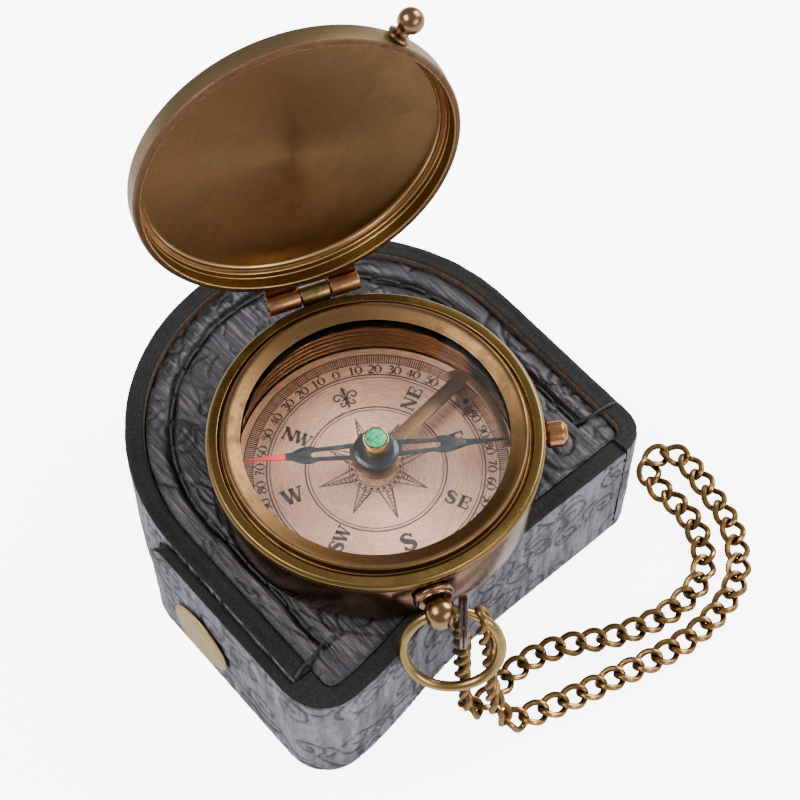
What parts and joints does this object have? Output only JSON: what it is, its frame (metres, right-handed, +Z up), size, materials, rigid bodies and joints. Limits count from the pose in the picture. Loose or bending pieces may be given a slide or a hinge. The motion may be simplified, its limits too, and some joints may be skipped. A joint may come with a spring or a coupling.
{
  "type": "ship compass",
  "caption": "Pocket ship compass with hinged lid, needle lock, bow ring and curb chain, lying on its leather carrying case.",
  "frame": {"origin": "on the table, at the centre of the case's round back, under the case's bottom panel", "axes": "+Z up, -Y towards the straight front of the case, +X to its right"},
  "size_m": [0.1018, 0.1098, 0.1057],
  "materials": {
    "copper": "polished and toned reddish brown",
    "antique_brass": "antique finish with darker hollows",
    "bright_brass": "satin",
    "dial": "brushed, printed in black",
    "steel": "plain",
    "needle_black": "satin black",
    "glass": "clear",
    "jewel": "mottled green",
    "leather": "embossed and antiqued, with black cut edges",
    "thread": "waxed thread"
  },
  "bodies": {
    "case": {"case_wall": "leather", "case_bottom": "leather", "case_top": "leather", "case_front": "leather", "stitch_thread": "thread", "snap_stud": "steel"},
    "tab": {"case_tab": "leather", "snap_cap": "bright_brass", "snap_socket": "steel"},
    "compass": {"compass_bowl": "copper", "bezel_ring": "antique_brass", "glass": "glass", "glass_seat_ring": "antique_brass", "dial_plate": "dial", "pivot_post": "antique_brass", "pivot_pin": "steel", "lever_saddle": "antique_brass", "body_knuckle": "antique_brass", "hinge_pin": "steel", "pendant_collar": "antique_brass", "pendant_ball": "copper", "chain_drop_front": "antique_brass", "chain_inner_run": "antique_brass", "chain_fold": "antique_brass", "chain_outer_run": "antique_brass", "chain_drop_back": "antique_brass"},
    "needle": {"needle": "needle_black", "needle_cap": "bright_brass", "jewel_disc": "jewel"},
    "lever": {"needle_lever": "antique_brass"},
    "plunger": {"lock_plunger": "copper"},
    "lid": {"lid_shell": "antique_brass", "lid_knuckle_left": "antique_brass", "lid_knuckle_right": "antique_brass", "lid_knob": "antique_brass"},
    "bow": {"bow_ring": "antique_brass"},
    "split": {"split_ring": "steel"}
  },
  "joints": [
    {"name": "compass_lift", "type": "slide", "parent": "case", "child": "compass", "axis": [0, 0, 1], "range_m": [0, 0.06]},
    {"name": "tab_swing", "type": "hinge", "parent": "case", "child": "tab", "pos_m": [-0.0335, -0.0397, 0.015], "axis": [0, 0, 1], "range_deg": [0, 100]},
    {"name": "lid_hinge", "type": "hinge", "parent": "compass", "child": "lid", "pos_m": [0.00768, 0.01704, 0.0445], "axis": [-0.9403, 0.3404, 0], "range_deg": [-95, 0]},
    {"name": "needle_spin", "type": "hinge", "parent": "compass", "child": "needle", "pos_m": [-0.0032, -0.013, 0.0385], "axis": [0, 0, 1], "continuous": true},
    {"name": "lever_rock", "type": "hinge", "parent": "compass", "child": "lever", "pos_m": [0.01824, -0.01174, 0.03545], "axis": [0.3649, 0.9311, 0], "range_deg": [0, 5.15]},
    {"name": "lock_press", "type": "slide", "parent": "compass", "child": "plunger", "axis": [-0.8443, 0.5358, 0], "range_m": [0, 0.0012], "stiffness_N_per_m": 300},
    {"name": "bow_swing", "type": "hinge", "parent": "compass", "child": "bow", "pos_m": [-0.01542, -0.04419, 0.038], "axis": [-0.8087, 0.5435, -0.225], "range_deg": [0, 120]},
    {"name": "split_ring_swing", "type": "hinge", "parent": "bow", "child": "split", "pos_m": [-0.01256, -0.04641, 0.03833], "axis": [-0.6984, 0.6965, 0.1646], "range_deg": [-15, 35]}
  ],
  "couplings": [
    {"joint": "lever_rock", "follows": "lock_press", "rad_per_m": 74.8}
  ]
}
